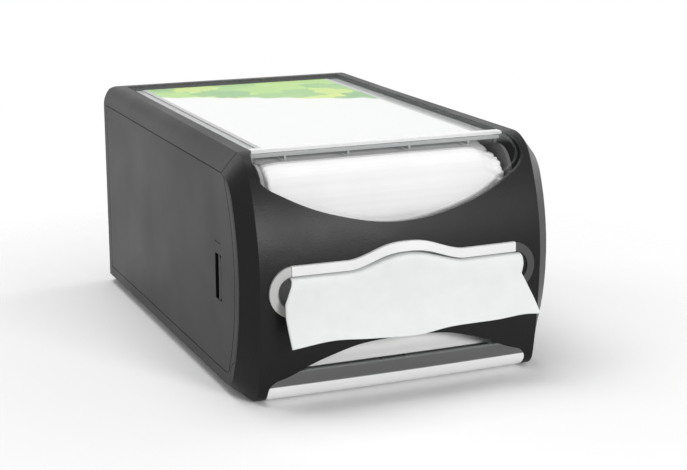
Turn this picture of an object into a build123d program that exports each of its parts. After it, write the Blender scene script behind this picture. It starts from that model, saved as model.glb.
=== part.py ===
"""Countertop napkin dispenser: a long housing behind a drop-down front cover, in millimetres.

X runs to the right of a person who faces the front, Y runs from front to back and Z runs up from
the counter. The values below have Y = 0 in the middle of the housing's depth. The nodes are written
moved back by ORIGIN_SHIFT, so that the origin is in the middle of the whole depth, with the napkin.
"""
from build123d import *
from math import cos, hypot, pi, sin, sqrt
import os

# Overall size
WIDTH = 200.0
HEIGHT = 144.5
BACK_Y = 153.5
FRONT_Y = -151.8
BOW = 1.7
CLEAR_UNDER = 0.4
NAPKIN_FRONT_Y = -166.5
ORIGIN_SHIFT = -(NAPKIN_FRONT_Y + BACK_Y) / 2

# Nose of the dispenser: two arcs meet at the waist and end in a top round and a toe round
WAIST_Z = 70.0
FACE_R = 128.0
CREASE_X = 90.5
MITRE = 0.41
NOSE_BACK_Y = -111.0
FACE_SHOULDER_Y = -115.0
TOE_Y, TOE_Z, TOE_R = -136.0, 11.0, 10.6
SIDE_FRONT_Y = -142.8
SIDE_SHOULDER_Y, SIDE_SHOULDER_Z = -112.0, 134.0
SIDE_TOE_Y, SIDE_TOE_Z, SIDE_TOE_R = -116.6, 21.0, 15.0

# Housing
WALL = 2.5
REAR_CORNER = 12.0
REAR_CHAMFER = 6.0
RAIL_X = 82.2
FLANGE_X = 90.4
PAN_X = 90.0
PAN_FRONT_Y = -124.4
BACK_SEAM_Y = 146.5
SEAM_GAP = 0.4
GROOVE_INSET = 7.0
GROOVE_TOP_Z = 133.3
GROOVE_WIDTH = 0.6
GROOVE_DEPTH = 0.5

# Seam between the cover and the housing
SEAM_Y = -116.0
SEAM_INSET = 1.4
PANEL_TOE_Y = -127.0

# Cover hinge
HINGE_Y, HINGE_Z = -137.2, 11.5
EAR_R = 12.8
EAR_X = 91.0
LIP_END_Y = -135.0
PIN_R = 2.0
PIN_INNER_X, PIN_OUTER_X = 81.4, 93.0
RUNNING_GAP = 0.05
BOSS_R = 4.6
BOSS_X = 85.2
LUG_R = 4.2
LUG_X = 84.6
LUG_TOP_Z = 40.0

# Cover shell and its clear panes
FRAME_WALL = 2.4
PANE = 2.0
FLANGE_GAP = 0.2
FLANGE_BACK = 4.4
FLANGE_REACH = 5.0
RIM = 2.2
FIT_GAP = 0.2

# Mouth
MOUTH_Z = 68.5
RING_HALF, RING_R = 85.5, 15.25
MOUTH_HALF, MOUTH_R = 80.7, 9.9
NECK_HALF, NECK_R = 83.0, 12.7
RING_PROUD = 1.6
RING_BACK = 5.5
LIP_PROUD = 2.3
LIP_HALF = 72.0
LIP_BAND = 5.6
GUIDE_WALL = 1.0
GUIDE_FIT = 0.1
GUIDE_FRONT_Y, GUIDE_BACK_Y = -152.6, -145.5

# Magazine
LINER_X = 79.0
LINER = 2.0
FLOOR_Z, FLOOR_T = 13.0, 2.0
MAGAZINE_INSET = 8.0
LINER_TOP_Z = 139.4
MAGAZINE_BACK_Y = 146.0
STACK_HALF = 74.5
STACK_FRONT_Y, STACK_BACK_Y = -140.0, 109.5
STACK_LOW_Z, STACK_TOP_Z = 17.0, 136.5
GUIDE_RAIL = 3.0
GUIDE_RAIL_Z, GUIDE_RAIL_H = 72.0, 4.0

# Pusher
PLATE_Y = 110.0
PLATE_T = 2.4
PLATE_HALF = 73.0
PLATE_LOW_Z, PLATE_TOP_Z = 18.0, 134.0
SHOE_GAP = 0.5
DRUM_Y, DRUM_Z, DRUM_R = 127.0, 27.5, 11.4
DRUM_HALF = 7.9
AXLE_R = 2.5
BRACKET_X, BRACKET_T = 8.5, 2.5
BAND_Z, BAND_T, BAND_HALF = 15.5, 0.3, 6.0

# Top: a printed card lies on a ribbed tray under a clear lid
LID_HALF = 81.7
LID_FRONT_Y = -115.6
LID_LOW_Z = 142.6
LID_AXIS_Y, LID_AXIS_Z, LID_REAR_R = 144.6, 143.0, 1.5
LID_PIN_R, LID_PIN_X = 0.8, 84.2
CARD_HALF = 72.5
CARD_FRONT_Y, CARD_BACK_Y = -110.0, 141.0
CARD_Z, CARD_T = 141.9, 0.4
TRAY_Z, TRAY_TOP_Z = 139.5, 141.7
TRAY_HALF = 81.2
TRAY_FRONT_Y, TRAY_BACK_Y = -113.5, 142.5
RIB_PITCH, RIB_LOW_Z, RIB_T = 40.0, 137.2, 1.2

# Side latch buttons
BUTTON_Y0, BUTTON_Y1 = -111.5, -101.5
BUTTON_Z0, BUTTON_Z1 = 55.3, 82.5
BUTTON_GAP = 0.3
BUTTON_INNER_X = 93.0
BUTTON_STOP_X = 96.8
BUTTON_LIP = 2.0
SCOOP_DEPTH = 1.9
CATCH_X0, CATCH_X1 = 86.0, 89.5
CATCH_Z0, CATCH_Z1 = 58.0, 70.0
CATCH_BACK_Y = -106.0
SPRING_R, SPRING_WIRE_R, SPRING_TURNS = 2.6, 0.4, 5
SPRING_Y, SPRING_Z = -106.5, 78.0

# Feet and screws
FOOT_R, FOOT_TOP_Z = 8.0, 1.4
FOOT_X, FOOT_FRONT_Y, FOOT_BACK_Y = 72.0, -104.0, 128.0
SCREW_R, HEAD_R, HEAD_T = 1.5, 3.0, 1.4
BASE_SCREW_X, BASE_SCREW_YS = 50.0, (-90.0, 110.0)
BACK_SCREW_X, BACK_SCREW_ZS = 72.0, (30.0, 120.0)
PLATE_SCREW_X, PLATE_SCREW_Z = 45.0, 72.0

SIDES = (("left", -1), ("right", 1))
HALF_W = WIDTH / 2

# Half outlines of the clear areas, from the middle outwards, as (X, Z)
SMILE = [(0, 102.5), (12.5, 103.1), (25, 105), (38, 108.1), (51, 112), (64, 117.4), (74.5, 122.8),
         (81.5, 127), (85.6, 132), (86.4, 138), (85, 144), (84, 152)]
ARCH = [(0, 33.5), (15, 33), (31, 31.2), (44, 27.6), (57, 23.2), (66, 19.2), (75, 15.6), (81, 13.4),
        (84, 9.8), (84.6, 4), (84.6, -6)]
# Upper edge of the band over the mouth, from its end to the middle of the thumb notch
BUMP = [(36, 83.8), (29, 85.2), (22.5, 87.3), (16, 89.5), (10, 90.9), (0, 91.6)]


def block(x0, x1, y0, y1, z0, z1):
    """Box between three pairs of limits."""
    return Pos((x0 + x1) / 2, (y0 + y1) / 2, (z0 + z1) / 2) * Box(abs(x1 - x0), abs(y1 - y0), abs(z1 - z0))


def side_block(side, x0, x1, y0, y1, z0, z1):
    """Box on one side of the middle: side is -1 for left and 1 for right."""
    return block(side * x0, side * x1, y0, y1, z0, z1)


def rod_x(radius, x0, x1, y, z):
    """Cylinder along X."""
    return Pos((x0 + x1) / 2, y, z) * Rot(0, 90, 0) * Cylinder(radius, abs(x1 - x0))


def rod_y(radius, x, y0, y1, z):
    """Cylinder along Y."""
    return Pos(x, (y0 + y1) / 2, z) * Rot(90, 0, 0) * Cylinder(radius, abs(y1 - y0))


def rod_z(radius, x, y, z0, z1):
    """Cylinder along Z."""
    return Pos(x, y, (z0 + z1) / 2) * Cylinder(radius, z1 - z0)


def towards(start, end, length):
    """Point at a distance from start, in the direction of end."""
    span = hypot(end[0] - start[0], end[1] - start[1])
    return (start[0] + (end[0] - start[0]) * length / span, start[1] + (end[1] - start[1]) * length / span)


def past(start, end, length):
    """Point on the line from start through end, at a distance beyond end."""
    return towards(end, start, -length)


def arc_edge(x, centre, radius, a, b):
    """Arc in the plane X = x, from a to b the short way round its centre."""
    middle = ((a[0] + b[0]) / 2, (a[1] + b[1]) / 2)
    crown = towards(centre, middle, radius)
    return Edge.make_three_point_arc(Vector(x, *a), Vector(x, *crown), Vector(x, *b))


def line_edge(x, a, b):
    """Straight edge in the plane X = x."""
    return Edge.make_line(Vector(x, *a), Vector(x, *b))


def nose_arcs(front_y, shoulder_y, top_z, toe_y, toe_z, toe_r):
    """Centres and radii of the top round, the upper arc, the lower arc and the toe round."""
    upper_y = front_y + FACE_R
    across = upper_y - shoulder_y
    up = top_z - WAIST_Z
    top_r = (FACE_R ** 2 - across ** 2 - up ** 2) / (2 * (FACE_R - up))
    back = toe_y - front_y
    down = WAIST_Z - toe_z
    lower_r = (back ** 2 + down ** 2 - toe_r ** 2) / (2 * (back - toe_r))
    return [(shoulder_y, top_z - top_r, top_r), (upper_y, WAIST_Z, FACE_R),
            (front_y + lower_r, WAIST_Z, lower_r), (toe_y, toe_z, toe_r)]


FACE_ARCS = nose_arcs(FRONT_Y, FACE_SHOULDER_Y, HEIGHT, TOE_Y, TOE_Z, TOE_R)
SIDE_ARCS = nose_arcs(SIDE_FRONT_Y, SIDE_SHOULDER_Y, SIDE_SHOULDER_Z, SIDE_TOE_Y, SIDE_TOE_Z, SIDE_TOE_R)


def nose_points(arcs, inset, proud=0.0):
    """Trimmed arcs and the points where they meet, from the top round to the toe."""
    arcs = [(y - proud, z, r - inset) for y, z, r in arcs]
    centres = [(y, z) for y, z, r in arcs]
    top_r, upper_r, lower_r, toe_r = [r for y, z, r in arcs]
    top = (centres[0][0], centres[0][1] + top_r)
    shoulder = past(centres[1], centres[0], top_r)
    waist = (centres[1][0] - upper_r, WAIST_Z)
    ankle = past(centres[2], centres[3], toe_r)
    sole = (centres[3][0], centres[3][1] - toe_r)
    return arcs, [top, shoulder, waist, ankle, sole]


def nose_curve(x, arcs, points):
    """The four arcs of the nose in the plane X = x."""
    return [arc_edge(x, (y, z), r, a, b) for (y, z, r), a, b in zip(arcs, points, points[1:])]


def nose_wire(x, arcs, inset, proud=0.0):
    """Closed outline of the nose in the plane X = x."""
    arcs, points = nose_points(arcs, inset, proud)
    top, sole = points[0], points[-1]
    high = (NOSE_BACK_Y, top[1])
    low = (NOSE_BACK_Y, sole[1])
    edges = [line_edge(x, high, top)] + nose_curve(x, arcs, points)
    edges += [line_edge(x, sole, low), line_edge(x, low, high)]
    return Wire(edges)


def nose(inset):
    """Solid nose with its bevelled cheeks, moved in from the outer surface."""
    edge_inset = MITRE * inset
    side_x = HALF_W - inset
    crease_x = CREASE_X - edge_inset
    creases = [nose_wire(side * crease_x, FACE_ARCS, inset) for side in (-1, 1)]
    middle = nose_wire(0, FACE_ARCS, inset, BOW)
    solid = Part() + Solid.make_loft([creases[0], middle, creases[1]])
    for side, crease in zip((-1, 1), creases):
        cheek = nose_wire(side * side_x, SIDE_ARCS, edge_inset)
        solid += Solid.make_loft([cheek, crease], ruled=True)
    return solid


def hull_wire(y, crest, shoulder, round_centre, inset):
    """Closed outline of the housing across X and Z: its top corners are bevels or rounds."""
    side_x = HALF_W - inset
    low_z = SIDE_TOE_Z - SIDE_TOE_R + MITRE * inset
    sole = (CREASE_X - MITRE * inset, CLEAR_UNDER + inset)
    right = [crest, shoulder, (side_x, low_z), sole]
    left = [(-x, z) for x, z in reversed(right)]
    loop = right + left
    points = [Vector(x, y, z) for x, z in loop]
    edges = []
    for i, (a, b) in enumerate(zip(points, points[1:] + points[:1])):
        corner = i in (0, len(points) - 2)
        if corner and round_centre:
            centre = Vector(round_centre[0] * (1 if i == 0 else -1), y, round_centre[1])
            radius = (a - centre).length
            crown = centre + ((a + b) * 0.5 - centre).normalized() * radius
            edges.append(Edge.make_three_point_arc(a, crown, b))
        else:
            edges.append(Edge.make_line(a, b))
    return Wire(edges)


def hull(inset):
    """Solid housing behind the nose, moved in from the outer surface."""
    edge_inset = MITRE * inset
    side_x = HALF_W - inset
    top_z = HEIGHT - inset
    back_y = BACK_Y - inset
    front = hull_wire(NOSE_BACK_Y, (CREASE_X - edge_inset, top_z), (side_x, SIDE_SHOULDER_Z - edge_inset),
                      None, inset)
    centre = (HALF_W - REAR_CORNER, HEIGHT - REAR_CORNER)
    rear = hull_wire(BACK_Y, (centre[0], top_z), (side_x, centre[1]), centre, inset)
    solid = Part() + Solid.make_loft([front, rear], ruled=True)
    reach = HALF_W + BACK_Y - REAR_CHAMFER - (1 + MITRE) * inset
    wide = HALF_W + 20
    corner_x = reach - back_y
    plan = [(-wide, NOSE_BACK_Y), (wide, NOSE_BACK_Y), (wide, reach - wide), (corner_x, back_y),
            (-corner_x, back_y), (-wide, reach - wide)]
    return solid & extrude(make_face(Polyline(*plan, close=True)), HEIGHT + 20)


def side_prism(edges, x0=-HALF_W - 5, x1=HALF_W + 5):
    """Solid across X whose outline is drawn in the plane X = 0."""
    return Pos(x0, 0, 0) * extrude(Face(Wire(edges)), x1 - x0, dir=Vector(1, 0, 0))


def seam_edges(inset, seam_y):
    """The seam as seen from the side: straight down at the top, then just inside the cheek's crease."""
    arcs, points = nose_points(SIDE_ARCS, inset)
    y, z, r = arcs[0]
    start = (seam_y, z + sqrt(r ** 2 - (seam_y - y) ** 2))
    return start, nose_curve(0, arcs[:3], [start] + points[1:4]), points[3]


def closed(edges, start, end, corners):
    """Close a run of edges with straight lines through the corners."""
    loop = [end] + corners + [start]
    return edges + [line_edge(0, a, b) for a, b in zip(loop, loop[1:])]


def housing_zone():
    """Everything behind the seam, with room for the hinge ears."""
    start, edges, end = seam_edges(SEAM_INSET, SEAM_Y)
    corners = [(PANEL_TOE_Y, end[1] - 5), (PANEL_TOE_Y, -6), (BACK_Y + 20, -6), (BACK_Y + 20, HEIGHT + 20),
               (SEAM_Y, HEIGHT + 20)]
    return side_prism(closed(edges, start, end, corners)) - rod_x(EAR_R + SEAM_GAP, -105, 105, HINGE_Y, HINGE_Z)


def cover_zone():
    """Everything in front of the seam."""
    seam_y = SEAM_Y - SEAM_GAP
    start, edges, end = seam_edges(SEAM_INSET - SEAM_GAP, seam_y)
    corners = [(HINGE_Y, HINGE_Z), (LIP_END_Y, -6), (FRONT_Y - 30, -6), (FRONT_Y - 30, HEIGHT + 20),
               (seam_y, HEIGHT + 20)]
    return side_prism(closed(edges, start, end, corners))


def whole_curve(half):
    """Mirror a half outline that starts in the middle."""
    return [(-x, z) for x, z in reversed(half[1:])] + list(half)


def shifted(points, distance):
    """Move an open outline to its left, by a distance along its normals."""
    moved = []
    for i, (x, z) in enumerate(points):
        before = points[max(i - 1, 0)]
        after = points[min(i + 1, len(points) - 1)]
        along = hypot(after[0] - before[0], after[1] - before[1])
        moved.append((x - distance * (after[1] - before[1]) / along, z + distance * (after[0] - before[0]) / along))
    return moved


def front_prism(curve, corners, y0=FRONT_Y - 20, y1=NOSE_BACK_Y + 2):
    """Solid along Y whose outline is a smooth curve closed by straight lines."""
    smooth = [Vector(x, y0, z) for x, z in curve]
    loop = [smooth[-1]] + [Vector(x, y0, z) for x, z in corners] + [smooth[0]]
    edges = [Edge.make_spline(smooth)] + [Edge.make_line(a, b) for a, b in zip(loop, loop[1:])]
    return extrude(Face(Wire(edges)), y1 - y0, dir=Vector(0, 1, 0))


def smile_area(shrink):
    """Clear area over the waist, open at the top."""
    return front_prism(shifted(whole_curve(SMILE), shrink), [])


def arch_area(shrink):
    """Clear area under the waist, open at the bottom."""
    return front_prism(shifted(whole_curve(ARCH), -shrink), [])


def stadium(half, radius, y0=FRONT_Y - 20, y1=-130.0):
    """Solid along Y with round ends, centred on the mouth."""
    plane = Plane(origin=(0, y1, MOUTH_Z), x_dir=(1, 0, 0), z_dir=(0, -1, 0))
    return extrude(plane * SlotOverall(2 * half, 2 * radius), y1 - y0)


def lip_band():
    """Band over the mouth: straight at both ends, with a raised thumb notch in the middle."""
    upper = [(-x, z) for x, z in BUMP[:-1]] + list(reversed(BUMP))
    ends = [(LIP_HALF, BUMP[0][1]), (LIP_HALF, BUMP[0][1] - LIP_BAND)]
    lower = [(x, z - LIP_BAND) for x, z in reversed(upper)]
    y0 = FRONT_Y - 20
    top = [Vector(x, y0, z) for x, z in upper]
    bottom = [Vector(x, y0, z) for x, z in lower]
    right = [Vector(x, y0, z) for x, z in ends]
    left = [Vector(-x, y0, z) for x, z in reversed(ends)]
    loop_right = [top[-1]] + right + [bottom[0]]
    loop_left = [bottom[-1]] + left + [top[0]]
    edges = [Edge.make_spline(top), Edge.make_spline(bottom)]
    for loop in (loop_right, loop_left):
        edges += [Edge.make_line(a, b) for a, b in zip(loop, loop[1:])]
    return extrude(Face(Wire(edges)), 40, dir=Vector(0, 1, 0))


def thumb_notch(inset=0.0):
    """Opening under the raised part of the band, lower by the inset."""
    drop = LIP_BAND + inset
    lower = [(-x, z - drop) for x, z in BUMP[:-1]] + [(x, z - drop) for x, z in reversed(BUMP)]
    edge_x = BUMP[0][0]
    return front_prism(lower, [(edge_x, MOUTH_Z), (-edge_x, MOUTH_Z)], y1=-130.0)


def side_outline(inset, top_z):
    """Outline on the flat side face, moved in from its front and lower edges, as a face in the plane X = 0."""
    arcs, points = nose_points(SIDE_ARCS, inset)
    arcs, points = arcs[1:], points[1:]
    y, z, r = arcs[0]
    slope = (points[0][1] - z) / (y - points[0][0])
    start = (points[0][0] + (top_z - points[0][1]) * slope, top_z)
    rear_y = BACK_Y - REAR_CHAMFER - inset
    corners = [(rear_y, points[-1][1]), (rear_y, top_z)]
    edges = [line_edge(0, start, points[0])] + nose_curve(0, arcs, points)
    return Face(Wire(closed(edges, start, points[-1], corners)))


nodes = {}
front_of_seam = cover_zone()
behind_seam = housing_zone()
nose_out = nose(0)
nose_shell = nose_out - nose(WALL)
hull_shell = hull(0) - hull(WALL)
magazine_limit = nose(MAGAZINE_INSET) + block(-HALF_W, HALF_W, NOSE_BACK_Y, BACK_Y, 0, HEIGHT)

# Side panels with a groove, a button hole, a lid hinge boss and a toe cut out for the hinge ear
groove_outer = side_outline(GROOVE_INSET, GROOVE_TOP_Z)
groove_inner = side_outline(GROOVE_INSET + GROOVE_WIDTH, GROOVE_TOP_Z - GROOVE_WIDTH)
groove = extrude(groove_outer - groove_inner, 2 * GROOVE_DEPTH, dir=Vector(1, 0, 0))
panels = (nose_shell & behind_seam) + (hull_shell & block(-105, 105, -120, BACK_SEAM_Y, -5, 150))
for name, side in SIDES:
    panel = panels & side_block(side, RAIL_X, 105, -150, 150, 100, 150)
    panel += panels & side_block(side, FLANGE_X, 105, -150, 150, -5, 100)
    panel += side_block(side, RAIL_X, RAIL_X + 3, 140, BACK_SEAM_Y, 139, HEIGHT - WALL)
    panel -= rod_x(LID_PIN_R + RUNNING_GAP, side * (RAIL_X - 1), side * (LID_PIN_X + 0.3), LID_AXIS_Y, LID_AXIS_Z)
    panel -= side_block(side, 95, 105, BUTTON_Y0 - BUTTON_GAP, BUTTON_Y1 + BUTTON_GAP,
                        BUTTON_Z0 - BUTTON_GAP, BUTTON_Z1 + BUTTON_GAP)
    panel -= Pos(side * HALF_W - GROOVE_DEPTH, 0, 0) * groove
    panel -= side_block(side, HALF_W - 0.3, 105, BUTTON_Y0, BUTTON_Y1, 89.6, 90.4)
    nodes[name + "_side_panel"] = panel

# Base pan with ribs that carry the magazine floor
pan = hull_shell & block(-PAN_X, PAN_X, -120, BACK_SEAM_Y, -5, 5)
pan += block(-PAN_X, PAN_X, PAN_FRONT_Y, -110, CLEAR_UNDER, CLEAR_UNDER + WALL)
pan_top = CLEAR_UNDER + WALL
for rib_x in (-78.0, 76.0):
    pan += block(rib_x, rib_x + 2, PAN_FRONT_Y + 4, 140, pan_top, FLOOR_Z)
for rib_y in (-118.0, 20.0, 136.0):
    pan += block(-78, 78, rib_y, rib_y + 2, pan_top, FLOOR_Z)
base_screws = Part()
for side in (-1, 1):
    for y in BASE_SCREW_YS:
        x = side * BASE_SCREW_X
        head_z = CLEAR_UNDER + HEAD_T
        pan += rod_z(4.5, x, y, pan_top, FLOOR_Z)
        pan -= rod_z(HEAD_R, x, y, CLEAR_UNDER, head_z) + rod_z(SCREW_R, x, y, head_z, FLOOR_Z)
        base_screws += rod_z(HEAD_R, x, y, CLEAR_UNDER + 0.1, head_z) - rod_z(0.8, x, y, CLEAR_UNDER, head_z - 0.4)
        base_screws += rod_z(SCREW_R, x, y, head_z, FLOOR_Z + FLOOR_T)
for end, y in (("front", FOOT_FRONT_Y), ("rear", FOOT_BACK_Y)):
    for name, side in SIDES:
        pan -= rod_z(FOOT_R, side * FOOT_X, y, CLEAR_UNDER, FOOT_TOP_Z)
        foot = rod_z(FOOT_R, side * FOOT_X, y, 0, FOOT_TOP_Z)
        nodes["foot_" + end + "_" + name] = chamfer(foot.edges().sort_by(Axis.Z)[0], 0.3)
nodes["base_pan"] = pan
nodes["base_screws"] = base_screws

# Magazine: floor, side liners with hinge lugs, guide rails and the anchor of the spring band
floor = block(-LINER_X - LINER, LINER_X + LINER, -141, MAGAZINE_BACK_Y, FLOOR_Z, FLOOR_Z + FLOOR_T)
for side in (-1, 1):
    for y in BASE_SCREW_YS:
        floor -= rod_z(SCREW_R, side * BASE_SCREW_X, y, FLOOR_Z, FLOOR_Z + FLOOR_T)
nodes["magazine_floor"] = floor
magazine_z = FLOOR_Z + FLOOR_T
for name, side in SIDES:
    liner = side_block(side, LINER_X, LINER_X + LINER, -150, MAGAZINE_BACK_Y, magazine_z, LINER_TOP_Z)
    liner &= magazine_limit
    lug = side_block(side, LINER_X + LINER, LUG_X, HINGE_Y - LUG_R, HINGE_Y + LUG_R, HINGE_Z, LUG_TOP_Z)
    lug += rod_x(LUG_R, side * (LINER_X + LINER), side * LUG_X, HINGE_Y, HINGE_Z)
    liner += lug - rod_x(PIN_R + RUNNING_GAP, side * 80, side * 86, HINGE_Y, HINGE_Z)
    for z in BACK_SCREW_ZS:
        liner += side_block(side, 66, LINER_X, 143, MAGAZINE_BACK_Y, z - 6, z + 6)
        liner -= rod_y(SCREW_R, side * BACK_SCREW_X, 143, MAGAZINE_BACK_Y, z)
    nodes["liner_" + name] = liner
    nodes["guide_rail_" + name] = side_block(side, LINER_X - GUIDE_RAIL, LINER_X, -128, 140,
                                             GUIDE_RAIL_Z - GUIDE_RAIL_H / 2, GUIDE_RAIL_Z + GUIDE_RAIL_H / 2)
nodes["band_anchor"] = block(-8, 8, -137, -131, magazine_z, magazine_z + 1.6)
nodes["spring_band"] = block(-BAND_HALF, BAND_HALF, -131, DRUM_Y, BAND_Z, BAND_Z + BAND_T)

# Back panel: the closed end of the housing, held by four screws
back = hull_shell & block(-105, 105, BACK_SEAM_Y + SEAM_GAP, 160, -5, 150)
back_screws = Part()
wall_y = BACK_Y - WALL
head_y = BACK_Y - HEAD_T
for side in (-1, 1):
    for z in BACK_SCREW_ZS:
        x = side * BACK_SCREW_X
        back += rod_y(4.5, x, BACK_SEAM_Y + SEAM_GAP, wall_y, z)
        back -= rod_y(HEAD_R, x, head_y, BACK_Y, z) + rod_y(SCREW_R, x, BACK_SEAM_Y, head_y, z)
        back_screws += rod_y(HEAD_R, x, head_y, BACK_Y - 0.1, z) - rod_y(0.8, x, head_y + 0.4, BACK_Y, z)
        back_screws += rod_y(SCREW_R, x, 143, head_y, z)
nodes["back_panel"] = back
nodes["back_screws"] = back_screws

# Top: ribbed tray, printed card and clear lid on two stub pins at the back
tray = block(-TRAY_HALF, TRAY_HALF, TRAY_FRONT_Y, TRAY_BACK_Y, TRAY_Z, TRAY_TOP_Z)
for i in range(4):
    rib_x = (i - 1.5) * RIB_PITCH
    tray += block(rib_x - RIB_T / 2, rib_x + RIB_T / 2, TRAY_FRONT_Y, TRAY_BACK_Y, RIB_LOW_Z, TRAY_Z)
nodes["card_tray"] = tray
nodes["display_card"] = block(-CARD_HALF, CARD_HALF, CARD_FRONT_Y, CARD_BACK_Y, CARD_Z, CARD_Z + CARD_T)
lid = block(-LID_HALF, LID_HALF, LID_FRONT_Y, LID_AXIS_Y, LID_LOW_Z, HEIGHT)
rear_round = rod_x(LID_REAR_R, -LID_HALF, LID_HALF, LID_AXIS_Y, LID_AXIS_Z)
lid += rear_round & block(-HALF_W, HALF_W, LID_AXIS_Y, BACK_Y, LID_LOW_Z, HEIGHT)
for side in (-1, 1):
    lid += rod_x(LID_PIN_R, side * (LID_HALF - 1.7), side * LID_PIN_X, LID_AXIS_Y, LID_AXIS_Z)
    for y in (-84.0, -20.0, 44.0, 108.0):
        lid += side_block(side, CARD_HALF + 1.5, TRAY_HALF - 1.2, y - 8, y + 8, CARD_Z + 0.1, LID_LOW_Z)
nodes["top_clear_cover"] = lid

# Front frame: shell with a clear area over and under the waist, hinge ears and bosses for the pins
mouth = stadium(MOUTH_HALF, MOUTH_R)
notch = thumb_notch()
band = lip_band()
frame = (nose_out - nose(FRAME_WALL)) & front_of_seam
frame = frame - smile_area(0) - arch_area(0) - stadium(NECK_HALF, NECK_R) - notch
for name, side in SIDES:
    frame += nose_out & rod_x(EAR_R, side * EAR_X, side * 105, HINGE_Y, HINGE_Z)
    frame += rod_x(BOSS_R, side * BOSS_X, side * (EAR_X + 1), HINGE_Y, HINGE_Z)
for name, side in SIDES:
    pin = rod_x(PIN_R, side * PIN_INNER_X, side * PIN_OUTER_X, HINGE_Y, HINGE_Z)
    frame -= pin
    nodes["hinge_pin_" + name] = pin
nodes["front_frame"] = frame

# Clear panes: flush with the frame, each with a rim and a flange behind the frame
pane_shell = (nose_out - nose(PANE)) & front_of_seam
rim_shell = (nose_out - nose(FLANGE_BACK)) & front_of_seam
flange_shell = (nose(FRAME_WALL + FLANGE_GAP) - nose(FLANGE_BACK)) & front_of_seam
for name, area in (("front_window", smile_area), ("lower_window", arch_area)):
    inner = area(FIT_GAP + RIM)
    pane = pane_shell & area(FIT_GAP)
    pane += (rim_shell & area(FIT_GAP)) - inner
    pane += (flange_shell & area(-FLANGE_REACH)) - inner
    nodes[name] = pane

# Mouth: raised ring, white band with the thumb notch, and a smooth guide for the napkin
ring = (nose(-RING_PROUD) - nose_out) & stadium(RING_HALF, RING_R)
ring += (nose(-RING_PROUD) - nose(RING_BACK)) & stadium(NECK_HALF - FIT_GAP, NECK_R - FIT_GAP)
ring = ring - mouth - notch
nodes["lip_strip"] = ((nose(-LIP_PROUD) - nose_out) & band) - stadium(MOUTH_HALF, MOUTH_R - 0.2) - notch
nodes["mouth_ring"] = ring - nodes["lip_strip"]
guide_depth = block(-HALF_W, HALF_W, GUIDE_FRONT_Y, GUIDE_BACK_Y, 0, HEIGHT)
guide = mouth + (thumb_notch(GUIDE_FIT) - band)
guide = guide & guide_depth
guide -= stadium(MOUTH_HALF - GUIDE_WALL, MOUTH_R - GUIDE_WALL) + thumb_notch(GUIDE_WALL)
nodes["slot_guide"] = guide - band

# Catches on the cover, buttons in the side panels and the springs behind them
inside_frame = nose(FRAME_WALL) + block(-HALF_W, HALF_W, NOSE_BACK_Y, BUTTON_Y1, CATCH_Z0, CATCH_Z1)
for name, side in SIDES:
    arm = side_block(side, CATCH_X0, CATCH_X1, FRONT_Y, CATCH_BACK_Y, CATCH_Z0, CATCH_Z1) & inside_frame
    arm += rod_z(1.2, side * CATCH_X1, CATCH_BACK_Y - 3, CATCH_Z0, CATCH_Z1) & side_block(
        side, CATCH_X0, CATCH_X1 + 0.4, -120, -100, CATCH_Z0, CATCH_Z1)
    nodes["catch_" + name] = arm
    button = side_block(side, BUTTON_INNER_X, BUTTON_STOP_X, BUTTON_Y0 - BUTTON_LIP, BUTTON_Y1 + BUTTON_LIP,
                        BUTTON_Z0 - BUTTON_LIP, BUTTON_Z1 + BUTTON_LIP)
    plunger = side_block(side, BUTTON_STOP_X, HALF_W, BUTTON_Y0, BUTTON_Y1, BUTTON_Z0, BUTTON_Z1)
    front_edges = plunger.edges().filter_by(Axis.X).sort_by(Axis.Y)[:2]
    button += chamfer(front_edges, 2.0)
    scoop = [(side * (HALF_W + 1), BUTTON_Y0 + 0.8), (side * (HALF_W - SCOOP_DEPTH), BUTTON_Y1),
             (side * (HALF_W + 1), BUTTON_Y1)]
    button -= Pos(0, 0, BUTTON_Z0) * extrude(make_face(Polyline(*scoop, close=True)), BUTTON_Z1 - BUTTON_Z0)
    nodes["latch_button_" + name] = button
    length = BUTTON_INNER_X - LINER_X - LINER - 2 * SPRING_WIRE_R
    helix = Helix(pitch=length / SPRING_TURNS, height=length, radius=SPRING_R)
    coil = sweep(Plane(origin=helix @ 0, z_dir=helix % 0) * Circle(SPRING_WIRE_R), path=helix)
    start_x = LINER_X + LINER + SPRING_WIRE_R
    nodes["latch_spring_" + name] = Pos(side * start_x, SPRING_Y, SPRING_Z) * Rot(0, side * 90, 0) * coil

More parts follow.
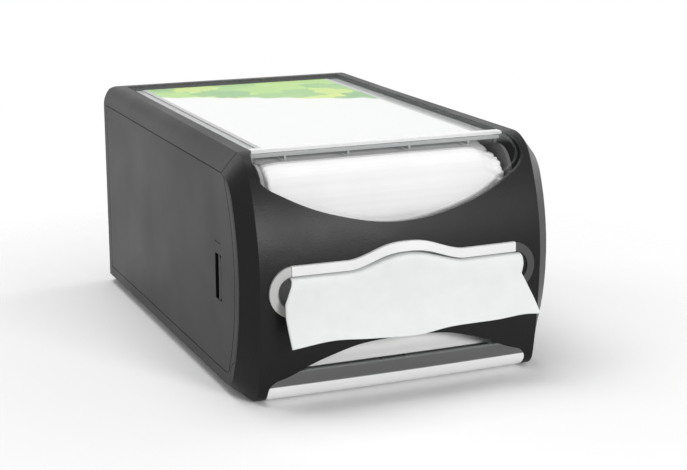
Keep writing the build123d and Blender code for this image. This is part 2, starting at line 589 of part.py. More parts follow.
# Pusher: plate, carriage on the guide rails, and a drum that winds up the spring band
plate = block(-PLATE_HALF, PLATE_HALF, PLATE_Y, PLATE_Y + PLATE_T, PLATE_LOW_Z, PLATE_TOP_Z)
plate = fillet(plate.edges().filter_by(Axis.Y), 8)
plate_back = PLATE_Y + PLATE_T
carriage = block(-70, 70, plate_back, plate_back + 5, 64, 80)
plate_screws = Part()
for side in (-1, 1):
    shoe = side_block(side, 70, LINER_X - SHOE_GAP, plate_back, 132, 62, 82)
    shoe -= side_block(side, LINER_X - GUIDE_RAIL - SHOE_GAP, LINER_X, 100, 140,
                       GUIDE_RAIL_Z - GUIDE_RAIL_H / 2 - SHOE_GAP, GUIDE_RAIL_Z + GUIDE_RAIL_H / 2 + SHOE_GAP)
    bracket = side_block(side, BRACKET_X, BRACKET_X + BRACKET_T, plate_back, DRUM_Y, DRUM_Z - 5, 66)
    bracket += rod_x(6, side * BRACKET_X, side * (BRACKET_X + BRACKET_T), DRUM_Y, DRUM_Z)
    carriage += shoe + bracket
    x = side * PLATE_SCREW_X
    plate -= rod_y(SCREW_R, x, PLATE_Y, plate_back, PLATE_SCREW_Z) + rod_y(HEAD_R, x, PLATE_Y, PLATE_Y + HEAD_T,
                                                                          PLATE_SCREW_Z)
    carriage -= rod_y(SCREW_R, x, plate_back, plate_back + 5, PLATE_SCREW_Z)
    plate_screws += rod_y(HEAD_R, x, PLATE_Y + 0.1, PLATE_Y + HEAD_T, PLATE_SCREW_Z)
    plate_screws += rod_y(SCREW_R, x, PLATE_Y + HEAD_T, plate_back + 5, PLATE_SCREW_Z)
axle_end = BRACKET_X + BRACKET_T + 1
axle = rod_x(AXLE_R, -axle_end, axle_end, DRUM_Y, DRUM_Z)
drum = rod_x(DRUM_R, -DRUM_HALF, DRUM_HALF, DRUM_Y, DRUM_Z)
drum -= rod_x(AXLE_R + RUNNING_GAP, -DRUM_HALF, DRUM_HALF, DRUM_Y, DRUM_Z)
for i in range(5):
    turn = 2 * pi * i / 5
    drum -= rod_x(2.0, -DRUM_HALF, DRUM_HALF, DRUM_Y + 6.6 * cos(turn), DRUM_Z + 6.6 * sin(turn))
nodes["pusher_plate"] = plate
nodes["pusher_carriage"] = carriage - axle
nodes["plate_screws"] = plate_screws
nodes["drum_axle"] = axle
nodes["spring_drum"] = drum

# Napkins: the stack in the magazine and the one that hangs from the mouth
stack = block(-STACK_HALF, STACK_HALF, STACK_FRONT_Y, STACK_BACK_Y, STACK_LOW_Z, STACK_TOP_Z)
nodes["napkin_stack"] = fillet(stack.edges().filter_by(Axis.Y), 3) & magazine_limit
outside = [(-144, 76.3), (-149, 76.9), (-154, 77.0), (-158.4, 75), (-160.8, 69.5), (-162, 61), (-164, 49.5),
           (NAPKIN_FRONT_Y, 37)]
inside = [(-144, 74.9), (-149, 75.5), (-153.6, 75.6), (-157.3, 73.9), (-159.4, 69), (-160.6, 61), (-162.6, 49.5),
          (NAPKIN_FRONT_Y + 1.4, 37)]
napkin_half = LIP_HALF
sheet = [Edge.make_spline([Vector(0, y, z) for y, z in outside]),
         line_edge(0, outside[-1], inside[-1]),
         Edge.make_spline([Vector(0, y, z) for y, z in reversed(inside)]),
         line_edge(0, inside[0], outside[0])]
nodes["served_napkin"] = side_prism(sheet, -napkin_half, napkin_half)

os.makedirs("parts", exist_ok=True)
for name, shape in nodes.items():
    solids = [Pos(0, ORIGIN_SHIFT, 0) * s for s in shape.solids() if s.volume > 0.5]
    node = solids[0] if len(solids) == 1 else Compound(children=solids)
    node.label = name
    export_step(node, "parts/" + name + ".step")
    box = shape.bounding_box()
    print(name, len(solids), round(shape.volume, 1), [round(v, 1) for v in (*box.min, *box.max)])
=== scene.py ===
"""Countertop napkin dispenser: materials, napkins, floor, lights and camera. Everything is in metres."""
import math
import random

import bmesh
import bpy
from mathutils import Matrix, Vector, noise


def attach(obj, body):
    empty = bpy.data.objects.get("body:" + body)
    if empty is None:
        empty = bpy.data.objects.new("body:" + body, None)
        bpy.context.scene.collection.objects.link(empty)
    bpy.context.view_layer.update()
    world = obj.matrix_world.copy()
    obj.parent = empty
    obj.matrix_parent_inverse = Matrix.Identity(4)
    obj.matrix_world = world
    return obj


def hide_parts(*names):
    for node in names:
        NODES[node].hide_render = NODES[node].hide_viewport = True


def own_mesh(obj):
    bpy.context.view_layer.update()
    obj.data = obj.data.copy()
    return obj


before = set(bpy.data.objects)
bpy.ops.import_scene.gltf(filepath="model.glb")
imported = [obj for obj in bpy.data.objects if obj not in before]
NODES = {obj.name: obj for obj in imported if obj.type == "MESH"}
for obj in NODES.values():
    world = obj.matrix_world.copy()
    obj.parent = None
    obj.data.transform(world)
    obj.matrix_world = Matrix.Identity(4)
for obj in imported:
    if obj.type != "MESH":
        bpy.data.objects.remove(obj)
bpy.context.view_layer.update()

# Camera, fitted on the object's edges
CAMERA_AT = (-0.378, -0.9371, 0.316)
CAMERA_PITCH = math.radians(14.16)
CAMERA_YAW = math.radians(23.15)
CAMERA_LENS = 81.4

# Colours, linear
BLACK = (0.007, 0.007, 0.0072, 1)
INNER_BLACK = (0.014, 0.014, 0.0145, 1)
CLEAR = (0.74, 0.77, 0.77, 1)
TRAY_GREY = (0.52, 0.53, 0.53, 1)
RING_GREY = (0.50, 0.50, 0.49, 1)
# Painted shade: the mouth ring turns to this dark grey at its right end, away from the light
RING_SHADE = (0.05, 0.05, 0.05, 1)
GUIDE_GREY = (0.32, 0.32, 0.32, 1)
# Painted shade: the slot guide turns to this near-black at its right end, away from the light
GUIDE_SHADE = (0.012, 0.012, 0.012, 1)
LINER_GREY = (0.30, 0.30, 0.30, 1)
# Painted shade: the right liner takes this darker grey, the left one the lighter grey
LINER_SHADE = (0.10, 0.10, 0.10, 1)
FLOOR_GREY = (0.17, 0.17, 0.17, 1)
LIP_WHITE = (0.80, 0.80, 0.80, 1)
TISSUE = (0.86, 0.88, 0.875, 1)
# Painted light: the stack's sheets are whiter than the same tissue of the hanging napkin, making up for light
# they lack inside
STACK_BRIGHTENED_WHITE = (0.97, 0.97, 0.965, 1)
CARD_WHITE = (0.92, 0.93, 0.92, 1)
# Painted shade: grey along the card's sides, where the cover's clear rim shows
RIM_SHADE_GREY = (0.50, 0.50, 0.50, 1)
STEEL = (0.56, 0.56, 0.55, 1)
RUBBER = (0.02, 0.02, 0.02, 1)
# Painted reflection (white) and painted shade (grey) on the clear panes, and how opaque each is
REFLECTION_WHITE = (0.90, 0.90, 0.90, 1)
SHADE_GREY = (0.14, 0.14, 0.14, 1)
REFLECTION_COVER = (0.92, 0.92, 0.92, 1)
SHADE_COVER = (0.8, 0.8, 0.8, 1)
DRUM_GREY = (0.25, 0.25, 0.25, 1)
LEAF_GREEN = (0.40, 0.68, 0.17, 1)
DEEP_GREEN = (0.20, 0.45, 0.16, 1)
PALE_YELLOW = (0.78, 0.84, 0.18, 1)


class Tree:
    """Node tree of a new material, with short calls for the nodes that the materials share."""

    def __init__(self, name):
        self.material = bpy.data.materials.new(name)
        self.material.use_nodes = True
        self.nodes = self.material.node_tree.nodes
        self.links = self.material.node_tree.links
        self.shader = self.nodes["Principled BSDF"]

    def node(self, kind, **inputs):
        made = self.nodes.new(kind)
        for key, value in inputs.items():
            made.inputs[key.replace("_", " ")].default_value = value
        return made

    def link(self, source, target):
        self.links.new(source, target)

    def set(self, **values):
        for key, value in values.items():
            self.shader.inputs[key.replace("_", " ")].default_value = value

    def place(self):
        """Position in the frame, the same for every piece at rest."""
        return self.nodes.new("ShaderNodeTexCoord").outputs["Object"]

    def noise(self, scale, detail=3.0, where=None):
        made = self.node("ShaderNodeTexNoise", Scale=scale, Detail=detail)
        self.link(where or self.place(), made.inputs["Vector"])
        return made.outputs["Fac"]

    def math(self, operation, a, b=0.0):
        made = self.nodes.new("ShaderNodeMath")
        made.operation = operation
        for slot, value in zip(made.inputs, (a, b)):
            if isinstance(value, (int, float)):
                slot.default_value = value
            else:
                self.link(value, slot)
        return made.outputs[0]

    def ramp(self, source, *stops):
        """Colour ramp through (position, colour) stops."""
        made = self.nodes.new("ShaderNodeValToRGB")
        band = made.color_ramp
        while len(band.elements) < len(stops):
            band.elements.new(0.5)
        for element, (position, colour) in zip(band.elements, stops):
            element.position = position
            element.color = colour
        self.link(source, made.inputs["Fac"])
        return made.outputs["Color"]

    def grey(self, source, low, high, start=0.3, end=0.7):
        """Ramp between two plain values."""
        return self.ramp(source, (start, (low, low, low, 1)), (end, (high, high, high, 1)))

    def between(self, source, start, end):
        """0 at start and 1 at end, clamped."""
        made = self.node("ShaderNodeMapRange")
        made.inputs["From Min"].default_value = start
        made.inputs["From Max"].default_value = end
        self.link(source, made.inputs["Value"])
        return made.outputs["Result"]

    def mix(self, amount, a, b):
        made = self.nodes.new("ShaderNodeMix")
        made.data_type = "RGBA"
        for key, value in ((0, amount), (6, a), (7, b)):
            slot = made.inputs[key]
            if isinstance(value, (int, float, tuple)):
                slot.default_value = value
            else:
                self.link(value, slot)
        return made.outputs[2]

    def bump(self, height, strength, distance):
        made = self.node("ShaderNodeBump", Strength=strength, Distance=distance)
        self.link(height, made.inputs["Height"])
        self.link(made.outputs["Normal"], self.shader.inputs["Normal"])


def moulded(name, colour, rough, grain_scale, grain_depth, specular=0.5, painted_shade_right=None):
    """Moulded plastic: a fine spark-eroded grain, faint sink marks and slight variation of gloss.

    Where the darker colour for the right end is given, the colour turns to it from the middle of the frame to
    the right, as painted shade on the side away from the light.
    """
    t = Tree(name)
    t.set(Base_Color=colour, Roughness=rough, IOR=1.5, Specular_IOR_Level=specular)
    t.bump(t.noise(grain_scale, 4.0), 0.3, grain_depth)
    cloud = t.noise(18.0, 2.0)
    t.link(t.grey(cloud, rough - 0.03, rough + 0.05), t.shader.inputs["Roughness"])
    pale = tuple(min(1.0, c * 1.15 + 0.001) for c in colour[:3]) + (1,)
    shade = t.mix(t.grey(cloud, 0.0, 1.0), colour, pale)
    # Painted shade: towards the right end the colour darkens
    if painted_shade_right:
        split = t.nodes.new("ShaderNodeSeparateXYZ")
        t.link(t.place(), split.inputs[0])
        shade = t.mix(t.between(split.outputs[0], 0.0, 0.07), shade, painted_shade_right)
    t.link(shade, t.shader.inputs["Base Color"])
    return t.material


def clear_plastic(name, tint, face_on, edge_on, rough, band_axis=2, painted_reflection_below=None,
                  painted_shade_below=None):
    """Clear plastic: see-through face on, and reflecting where it is seen at a slant.

    Where a place for painted reflection is given, the pane is painted white and more opaque below it along
    the chosen axis, as a painted reflection; where a second place is given too, it is painted grey between
    the two, as painted shade of the inside seen through it.
    """
    t = Tree(name)
    t.set(Base_Color=tint, Roughness=rough, IOR=1.49)
    slant = t.node("ShaderNodeLayerWeight", Blend=0.3).outputs["Facing"]
    alpha = t.grey(slant, face_on, edge_on, 0.25, 0.98)
    if painted_reflection_below is not None:
        split = t.nodes.new("ShaderNodeSeparateXYZ")
        t.link(t.place(), split.inputs[0])
        # Painted reflection: white and more opaque below this place
        reflection_band = t.between(split.outputs[band_axis], painted_reflection_below + 0.0006, painted_reflection_below)
        alpha = t.mix(reflection_band, alpha, REFLECTION_COVER)
        colour = t.mix(reflection_band, tint, REFLECTION_WHITE)
        if painted_shade_below is not None:
            # Painted shade: a grey band above the white one, for the shaded inside seen through the pane
            print_tint_and_painted_shade = t.between(split.outputs[band_axis], painted_shade_below + 0.001, painted_shade_below)
            shade_band = t.math("SUBTRACT", print_tint_and_painted_shade, reflection_band)
            colour = t.mix(shade_band, colour, SHADE_GREY)
            alpha = t.mix(shade_band, alpha, SHADE_COVER)
        t.link(colour, t.shader.inputs["Base Color"])
    t.link(alpha, t.shader.inputs["Alpha"])
    return t.material


def tissue(name, colour, ply_scale):
    """Soft tissue: short fibres, a light emboss and a little sheen."""
    t = Tree(name)
    t.set(Base_Color=colour, Roughness=0.95, Sheen_Weight=0.2, Sheen_Roughness=0.6)
    where = t.place()
    fibre = t.noise(2600.0, 3.0, where)
    cloud = t.noise(ply_scale, 3.0, where)
    t.bump(t.math("ADD", t.math("MULTIPLY", fibre, 0.35), cloud), 0.2, 0.0004)
    shade = tuple(c * 0.96 for c in colour[:3]) + (1,)
    t.link(t.mix(t.grey(cloud, 0.0, 1.0), shade, colour), t.shader.inputs["Base Color"])
    return t.material


def printed_card(name):
    """White card, painted grey along its sides as painted shade where the cover's clear rim shows, whose back
    part is printed with patches in greens and yellow.
    """
    t = Tree(name)
    t.set(Roughness=0.42, IOR=1.5)
    where = t.place()
    split = t.nodes.new("ShaderNodeSeparateXYZ")
    t.link(where, split.inputs[0])
    x, y = split.outputs[0], split.outputs[1]
    cloud = t.node("ShaderNodeTexNoise", Scale=70.0, Detail=3.0)
    t.link(where, cloud.inputs["Vector"])
    warped = t.nodes.new("ShaderNodeVectorMath")
    warped.operation = "MULTIPLY_ADD"
    t.link(cloud.outputs["Color"], warped.inputs[0])
    warped.inputs[1].default_value = (0.028, 0.028, 0.028)
    t.link(where, warped.inputs[2])
    patches = t.node("ShaderNodeTexVoronoi", Scale=34.0, Randomness=0.8)
    t.link(warped.outputs["Vector"], patches.inputs["Vector"])
    pick = t.nodes.new("ShaderNodeSeparateColor")
    t.link(patches.outputs["Color"], pick.inputs[0])
    greens = t.ramp(pick.outputs[0], (0.0, PALE_YELLOW), (0.3, LEAF_GREEN), (0.8, DEEP_GREEN),
                    (1.0, LEAF_GREEN))
    wash = t.noise(26.0, 2.0, where)
    print_tint_and_painted_shade = t.mix(t.grey(wash, 0.0, 0.55, 0.45, 0.7), greens, LEAF_GREEN)
    ripple = t.math("MULTIPLY", t.math("SUBTRACT", cloud.outputs["Fac"], 0.5), 0.022)
    slope = t.math("MULTIPLY", x, 0.45)
    edge = t.math("ADD", t.math("ADD", y, slope), ripple)
    printed = t.between(edge, PRINT_FRONT, PRINT_FRONT + 0.006)
    dots = t.node("ShaderNodeTexVoronoi", Scale=150.0, Randomness=0.1)
    t.link(where, dots.inputs["Vector"])
    spot = t.math("LESS_THAN", dots.outputs["Distance"], 0.3)
    ahead = t.math("MULTIPLY", t.math("GREATER_THAN", edge, PRINT_FRONT - 0.026),
                   t.math("LESS_THAN", edge, PRINT_FRONT - 0.012))
    confetti = t.mix(t.math("MULTIPLY", t.math("MULTIPLY", spot, ahead), 0.6), CARD_WHITE, PALE_YELLOW)
    # Painted shade: grey along both sides of the card
    rim_shade = t.math("GREATER_THAN", t.math("ABSOLUTE", x), RIM_SHADE_AT)
    t.link(t.mix(rim_shade, t.mix(printed, confetti, print_tint_and_painted_shade), RIM_SHADE_GREY), t.shader.inputs["Base Color"])
    t.bump(t.noise(900.0, 2.0, where), 0.08, 0.0002)
    return t.material


def brushed(name):
    """Plain steel with fine lines along its length."""
    t = Tree(name)
    t.set(Base_Color=STEEL, Metallic=1.0, Roughness=0.32)
    stretch = t.node("ShaderNodeMapping", Scale=(1.0, 40.0, 40.0))
    t.link(t.place(), stretch.inputs["Vector"])
    lines = t.noise(60.0, 4.0, stretch.outputs["Vector"])
    t.link(t.grey(lines, 0.26, 0.42), t.shader.inputs["Roughness"])
    t.bump(lines, 0.15, 0.0002)
    return t.material


# Where the card's print and the painted shade of its sides start, where the lower pane's painted reflection
# (white) and painted shade (grey) end, and where the lid's painted reflection along its front ends
PRINT_FRONT = 0.076
RIM_SHADE_AT = 0.0695
REFLECTION_TOP = 0.0102
SHADE_TOP = 0.0186
LID_REFLECTION = -0.1034

black = moulded("black_grained", BLACK, 0.38, 900.0, 0.00022, 0.19)
inner_black = moulded("black_inner", INNER_BLACK, 0.55, 500.0, 0.0002, 0.3)
# Liners: grey, with painted shade on the right one
liner_grey = moulded("grey_liner", LINER_GREY, 0.5, 900.0, 0.0001, 0.4, LINER_SHADE)
floor_grey = moulded("grey_floor", FLOOR_GREY, 0.5, 900.0, 0.0001, 0.4)
# Mouth ring: satin grey, with painted shade at its right end
ring_grey = moulded("grey_satin", RING_GREY, 0.3, 1400.0, 0.00005, 0.5, RING_SHADE)
# Slot guide: mid grey, with painted shade at its right end
guide_grey = moulded("grey_guide", GUIDE_GREY, 0.4, 1400.0, 0.00005, 0.4, GUIDE_SHADE)
lip_white = moulded("white_satin", LIP_WHITE, 0.35, 1400.0, 0.00005)
drum_grey = moulded("grey_inner", DRUM_GREY, 0.5, 700.0, 0.0002)
rubber = moulded("rubber_black", RUBBER, 0.75, 600.0, 0.0003)
clear = clear_plastic("clear_pane", CLEAR, 0.01, 0.35, 0.08)
# Lower pane: painted reflection along its foot, painted shade above it
clear_low = clear_plastic("clear_pane_low", CLEAR, 0.01, 0.25, 0.08, 2, REFLECTION_TOP, SHADE_TOP)
# Lid: painted reflection, white along its front edge, for the reflection on its rounded front
clear_lid = clear_plastic("clear_lid", CLEAR, 0.02, 0.12, 0.08, 1, LID_REFLECTION)
clear_tray = clear_plastic("clear_tray", TRAY_GREY, 0.75, 0.9, 0.2)
card = printed_card("card_print")
steel = brushed("steel_brushed")
napkin = tissue("napkin_tissue", TISSUE, 90.0)
# Stack tissue: painted light, brighter than the hanging napkin's
stack_tissue_brightened = tissue("napkin_sheets_brightened", STACK_BRIGHTENED_WHITE, 60.0)

LOOKS = {
    "left_side_panel": black, "right_side_panel": black, "back_panel": black, "base_pan": black,
    "front_frame": black, "latch_button_left": black, "latch_button_right": black,
    "magazine_floor": floor_grey, "liner_left": liner_grey, "liner_right": liner_grey,
    "guide_rail_left": inner_black, "guide_rail_right": inner_black, "band_anchor": inner_black,
    "slot_guide": guide_grey, "catch_left": inner_black, "catch_right": inner_black,
    "pusher_plate": inner_black, "pusher_carriage": inner_black, "spring_drum": drum_grey,
    "front_window": clear, "lower_window": clear_low, "top_clear_cover": clear_lid, "card_tray": clear_tray,
    "mouth_ring": ring_grey, "lip_strip": lip_white, "display_card": card,
    "foot_front_left": rubber, "foot_front_right": rubber, "foot_rear_left": rubber,
    "foot_rear_right": rubber,
}
for name, node in NODES.items():
    node.data.materials.clear()
    node.data.materials.append(LOOKS.get(name, steel))


def new_piece(name, verts, faces, material, body, slot):
    """Smooth mesh piece that rides on a body."""
    mesh = bpy.data.meshes.new(name)
    mesh.from_pydata(verts, [], faces)
    mesh.update()
    piece = bpy.data.objects.new(name, mesh)
    bpy.context.collection.objects.link(piece)
    work = bmesh.new()
    work.from_mesh(mesh)
    bmesh.ops.recalc_face_normals(work, faces=work.faces)
    work.to_mesh(mesh)
    work.free()
    for polygon in mesh.polygons:
        polygon.use_smooth = True
    mesh.materials.append(material)
    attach(piece, body)
    return piece


# Napkin stack: a block of folded sheets whose front follows the window, wider over the rails and before them
STACK_HALF = 0.0743
FRONT_HALF = 0.0766
STACK_LOW, STACK_HIGH = 0.0171, 0.1362
STACK_BACK = 0.1159
# Inner face of the window, as arcs (Y, Z, radius), and the share of its radius that the upper one reaches
WINDOW_ARC = (-0.0173, 0.070, 0.1198)
SHOULDER = (-0.1085, 0.121, 0.0153)
SHOULDER_SHARE = 0.87
STACK_FRONT = -0.1333
SHEET_STEP = 0.0016
FINE_STEP = 0.35
RAIL_TOP = 0.0746
SPLIT_BEFORE = -0.1112
WIDE_BEFORE, NARROW_FROM = -0.1222, -0.1205
TORN_FULL, TORN_TO = -0.108, -0.085
# Crumpled upper right corner of the front sheets: (how far in from the side, how much lower)
TORN = [(0.0, 0.0074), (0.0032, 0.0070), (0.0040, 0.0058), (0.0062, 0.0064), (0.0080, 0.0034),
        (0.0100, 0.0038), (0.0135, 0.0010), (0.0190, 0.0)]
STACK_COLUMNS, STACK_LEVELS = 88, 26
CORNER_FROM = 0.86


def between_points(points, at):
    """Straight interpolation in a list of (position, value) pairs."""
    for (a, low), (b, high) in zip(points, points[1:]):
        if at <= b:
            return low + (high - low) * max(0.0, at - a) / (b - a)
    return points[-1][1]


def stack_top(y):
    """Height of the stack at y: flat, and lower at the front where the window curves down."""
    if y >= SHOULDER[0]:
        return STACK_HIGH
    join = SHOULDER[0] - SHOULDER[2] * SHOULDER_SHARE
    centre_y, centre_z, radius = SHOULDER if y > join else WINDOW_ARC
    return min(STACK_HIGH, centre_z + math.sqrt(max(radius ** 2 - (y - centre_y) ** 2, 0)))


def sheet_places():
    """Sheets from the front to the back, as (Y, how much narrower, how much lower, how much torn)."""
    rng = random.Random(7)
    places = []
    y = STACK_FRONT + 0.0012
    while y < STACK_BACK + SHEET_STEP:
        places.append((y, rng.uniform(-1, 1), rng.uniform(-1, 1), rng.uniform(0.75, 1.1)))
        y += SHEET_STEP * (FINE_STEP if y < SHOULDER[0] else 1.0)
    return places


def napkin_block(sheets, is_front):
    """Closed block through the sheets, wavy on its face where it is the front one."""
    columns, levels = STACK_COLUMNS, STACK_LEVELS
    verts, faces = [], []
    index = {}

    def point(i, j, k):
        """Vertex at sheet i, column j and level k."""
        key = (i, j, k)
        if key not in index:
            y, side, rise, tear = sheets[i]
            widen = min(1.0, max(0.0, (NARROW_FROM - y) / (NARROW_FROM - WIDE_BEFORE)))
            crumpled = min(1.0, max(0.0, (TORN_TO - y) / (TORN_TO - TORN_FULL)))
            across = -1 + 2 * j / columns
            up = k / levels
            x = across * (FRONT_HALF - 0.0003 * (side + 1))
            torn = between_points(TORN, FRONT_HALF - x) * tear * crumpled
            left = max(0.0, -across - CORNER_FROM) / (1 - CORNER_FROM)
            top = stack_top(y) - 0.0003 * (rise + 1) - torn - 0.0012 * left ** 2
            z = STACK_LOW + up * (top - STACK_LOW)
            widen = max(widen, min(1.0, max(0.0, (z - RAIL_TOP) / 0.003)))
            x *= 1 - (1 - widen) * (1 - STACK_HALF / FRONT_HALF)
            corner = max(0.0, abs(across) - CORNER_FROM) / (1 - CORNER_FROM)
            wave = noise.noise(Vector((x * 14, y * 60, z * 14)))
            if is_front and i == 0:
                y += 0.0007 * wave + 0.0018 * corner ** 2 + 0.0012 * (1 - up) ** 4
            index[key] = len(verts)
            verts.append((x, y, z))
        return index[key]

    last = len(sheets) - 1
    for i in (0, last):
        for j in range(columns):
            for k in range(levels):
                faces.append((point(i, j, k), point(i, j + 1, k), point(i, j + 1, k + 1), point(i, j, k + 1)))
    for i in range(last):
        for j in range(columns):
            for k in (0, levels):
                faces.append((point(i, j, k), point(i, j + 1, k), point(i + 1, j + 1, k), point(i + 1, j, k)))
        for k in range(levels):
            for j in (0, columns):
                faces.append((point(i, j, k), point(i, j, k + 1), point(i + 1, j, k + 1), point(i + 1, j, k)))
    return verts, faces


# The stack is made as two blocks: the last sheets, at the window, and those behind them
PLACES = sheet_places()
SPLIT_AT = next(i for i, place in enumerate(PLACES) if place[0] > SPLIT_BEFORE)
PUSHER_TRAVEL = 0.225
PARTS = [("napkins_front", PLACES[:SPLIT_AT + 1], True), ("napkins_rear", PLACES[SPLIT_AT:], False)]
for name, sheets, is_front in PARTS:
    block = new_piece(name, *napkin_block(sheets, is_front), stack_tissue_brightened, "housing", "napkin")
    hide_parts("napkin_stack")
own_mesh(block)

# Napkin that hangs from the mouth: the line down its middle, as (Y, Z), from the guide to its lower edge
HANG = [(-0.1372, 0.0763), (-0.1425, 0.0768), (-0.1468, 0.0768), (-0.1502, 0.0757), (-0.1521, 0.0728),
        (-0.1531, 0.068), (-0.1539, 0.062), (-0.1551, 0.055), (-0.1567, 0.0475), (-0.1585, 0.0385)]
HANG_HALF = 0.072
HANG_ROWS, HANG_COLUMNS = 60, 120
TISSUE_PLY = 0.0005
# The sheet rises behind the thumb notch, from this height up, and hangs free after this share of its line
NOTCH_HALF = 0.036
NOTCH_RISE = 0.0073
RISE_FROM, RISE_SPAN = 0.058, 0.0165
FREE_FROM = 0.33
# How far the right corner and the waves stand out
CORNER_OUT, WAVE_OUT, CREASE_OUT = 0.006, 0.0020, 0.0005
# Side edges, as (Z, how far out of the straight line), and the lower edge, as (place across, how much higher)
LEFT_EDGE = [(0.036, 0.0042), (0.048, 0.0058), (0.056, 0.0068), (0.064, 0.0066), (0.069, 0.0044),
             (0.0725, 0.0028), (0.0768, 0.0009)]
RIGHT_EDGE = [(0.036, 0.0100), (0.044, 0.0080), (0.054, 0.0050), (0.064, 0.0012), (0.071, -0.0021),
              (0.0755, -0.0030)]
LOWER_EDGE = [(-1, 0.0), (-0.7, 0.0023), (-0.4, 0.0008), (0.0, -0.0004), (0.3, 0.0019), (0.7, 0.0028),
              (0.9, 0.0050), (1, 0.0048)]


def spread(points, count):
    """Points at even steps along a polyline, smoothed through its corners."""
    out = []
    last = len(points) - 1
    for n in range(count + 1):
        s = n / count * last
        i = min(int(s), last - 1)
        f = s - i
        p0, p1, p2, p3 = (Vector((*points[min(max(i + d, 0), last)], 0)) for d in (-1, 0, 1, 2))
        out.append(0.5 * ((2 * p1) + (p2 - p0) * f + (2 * p0 - 5 * p1 + 4 * p2 - p3) * f ** 2
                          + (3 * p1 - p0 - 3 * p2 + p3) * f ** 3))
    return out


def smooth_between(points, at):
    """Smooth interpolation in a list of (position, value) pairs."""
    last = len(points) - 1
    for i in range(last):
        if at <= points[i + 1][0] or i == last - 1:
            break
    a, b = points[i], points[i + 1]
    f = min(1.0, max(0.0, (at - a[0]) / (b[0] - a[0])))
    before, after = points[max(i - 1, 0)], points[min(i + 2, last)]
    width = b[0] - a[0]
    in_slope = (b[1] - before[1]) / (b[0] - before[0]) * width
    out_slope = (after[1] - a[1]) / (after[0] - a[0]) * width
    return ((2 * f ** 3 - 3 * f ** 2 + 1) * a[1] + (f ** 3 - 2 * f ** 2 + f) * in_slope
            + (3 * f ** 2 - 2 * f ** 3) * b[1] + (f ** 3 - f ** 2) * out_slope)


def hanging_napkin():
    """Sheet that rises behind the notch, with slow waves, a flared right corner and a few creases."""
    rows, columns = HANG_ROWS, HANG_COLUMNS
    line = spread(HANG, rows)
    verts, faces = [], []
    for r, p in enumerate(line):
        fall = max(0.0, (r / rows - FREE_FROM) / (1 - FREE_FROM))
        high = min(1.0, max(0.0, (p.y - RISE_FROM) / RISE_SPAN)) ** 1.3
        for c in range(columns + 1):
            u = -1 + 2 * c / columns
            x = u * HANG_HALF
            notch = 0.5 + 0.5 * math.cos(math.pi * min(1.0, abs(x) / NOTCH_HALF))
            z = p.y + high * NOTCH_RISE * notch ** 0.75 + fall ** 2 * smooth_between(LOWER_EDGE, u)
            edges = RIGHT_EDGE if u > 0 else LEFT_EDGE
            x += math.copysign(between_points(edges, z), u) * abs(u) ** 3
            y = p.x - fall ** 1.5 * CORNER_OUT * max(0.0, u) ** 3
            wave = noise.noise(Vector((x * 24, z * 9, 3.1)))
            crease = noise.noise(Vector((x * 45 + z * 60, z * 50, 7.7)))
            y -= fall * (WAVE_OUT * (wave + 0.45) + CREASE_OUT * crease)
            verts.append((x, y, z))
    for r in range(rows):
        for c in range(columns):
            a = r * (columns + 1) + c
            faces.append((a, a + 1, a + columns + 2, a + columns + 1))
    return verts, faces


served = new_piece("napkin_hanging", *hanging_napkin(), napkin, "front_cover", "napkin")
thick = served.modifiers.new("plies", "SOLIDIFY")
thick.thickness = TISSUE_PLY
thick.offset = 0
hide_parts("served_napkin")
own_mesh(served)


# Inner springs and the band, as (node, joint, axis, anchor, length, travel), each with a mesh of its own
SPRING_LENGTH, BUTTON_TRAVEL = 0.0118, 0.003
SOFT_STEEL = [("spring_band", "pusher_slide", (0, 1, 0), (0, -0.1245, 0.02), 0.258, PUSHER_TRAVEL)]
for side, x in (("left", -0.081), ("right", 0.081)):
    SOFT_STEEL.append(("latch_spring_" + side, side + "_button_press", (1, 0, 0), (x, -0.1, 0.078),
                       SPRING_LENGTH, BUTTON_TRAVEL))
for name, joint, axis, anchor, length, travel in SOFT_STEEL:
    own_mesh(NODES[name])

for node in NODES.values():
    for polygon in node.data.polygons:
        polygon.use_smooth = True
    smooth = node.modifiers.new("normals", "WEIGHTED_NORMAL")
    smooth.keep_sharp = True

# Floor that fades into a white background, and a white world
FLOOR_HALF = 2.0
FADE_FROM, FADE_TO = 0.21, 0.40
SKY = 0.28
bpy.ops.mesh.primitive_plane_add(size=2 * FLOOR_HALF, location=(0, 0, -0.0002))
floor = bpy.context.object
floor.name = "floor"
paint = Tree("floor_white")
paint.set(Base_Color=(0.97, 0.97, 0.97, 1), Roughness=0.9, Specular_IOR_Level=0.2)
away = paint.nodes.new("ShaderNodeVectorMath")
away.operation = "LENGTH"
paint.link(paint.place(), away.inputs[0])
paint.link(paint.between(away.outputs["Value"], FADE_TO, FADE_FROM), paint.shader.inputs["Alpha"])
floor.data.materials.append(paint.material)

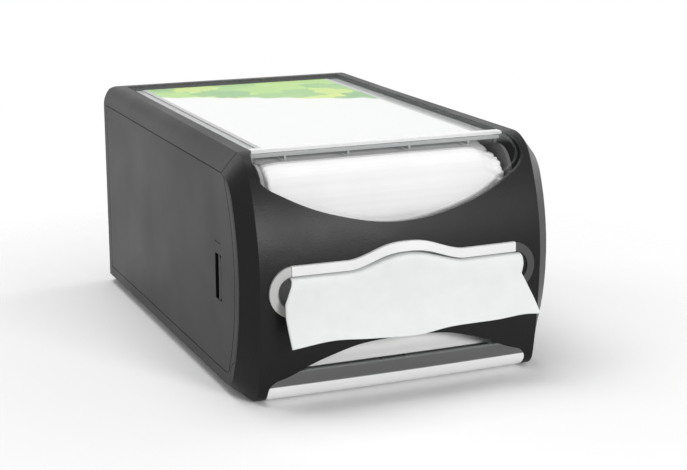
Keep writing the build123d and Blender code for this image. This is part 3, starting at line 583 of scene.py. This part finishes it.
world = bpy.data.worlds.new("studio")
bpy.context.scene.world = world
world.use_nodes = True
wn, wl = world.node_tree.nodes, world.node_tree.links
sky = wn["Background"]
sky.inputs["Color"].default_value = (1, 1, 1, 1)
sky.inputs["Strength"].default_value = SKY
white = wn.new("ShaderNodeBackground")
white.inputs["Color"].default_value = (1, 1, 1, 1)
white.inputs["Strength"].default_value = 1.0
rays = wn.new("ShaderNodeLightPath")
choose = wn.new("ShaderNodeMixShader")
seen = rays.outputs["Is Camera Ray"]
for kind in ("Is Glossy Ray", "Is Transmission Ray"):
    either = wn.new("ShaderNodeMath")
    either.operation = "MAXIMUM"
    wl.new(seen, either.inputs[0])
    wl.new(rays.outputs[kind], either.inputs[1])
    seen = either.outputs[0]
wl.new(seen, choose.inputs[0])
wl.new(sky.outputs[0], choose.inputs[1])
wl.new(white.outputs[0], choose.inputs[2])
wl.new(choose.outputs[0], wn["World Output"].inputs["Surface"])


def area_light(name, at, towards, size, power):
    """Soft rectangular lamp that faces a point."""
    lamp = bpy.data.lights.new(name, "AREA")
    lamp.shape = "RECTANGLE"
    lamp.size, lamp.size_y = size
    lamp.energy = power
    holder = bpy.data.objects.new(name, lamp)
    bpy.context.collection.objects.link(holder)
    holder.location = at
    holder.rotation_euler = (Vector(towards) - Vector(at)).to_track_quat("-Z", "Y").to_euler()


area_light("key_top", (-0.25, 0.2, 1.55), (0, 0, 0.05), (1.1, 1.1), 13.5)
area_light("front_high", (0.40, -1.6, 0.54), (-0.05, -0.1, 0.08), (0.5, 0.4), 14)
area_light("back_left", (-1.5, 1.5, 0.9), (0, 0, 0.07), (1.0, 1.0), 11)
area_light("rim_right", (1.5, 0.4, 0.6), (0, -0.1, 0.07), (0.6, 1.0), 6)

camera = bpy.data.cameras.new("photo_view")
camera.lens = CAMERA_LENS
camera.sensor_width = 36.0
holder = bpy.data.objects.new("photo_view", camera)
bpy.context.collection.objects.link(holder)
holder.location = CAMERA_AT
holder.rotation_euler = (math.pi / 2 - CAMERA_PITCH, 0, -CAMERA_YAW)
bpy.context.scene.camera = holder
bpy.context.scene.view_settings.view_transform = "Standard"
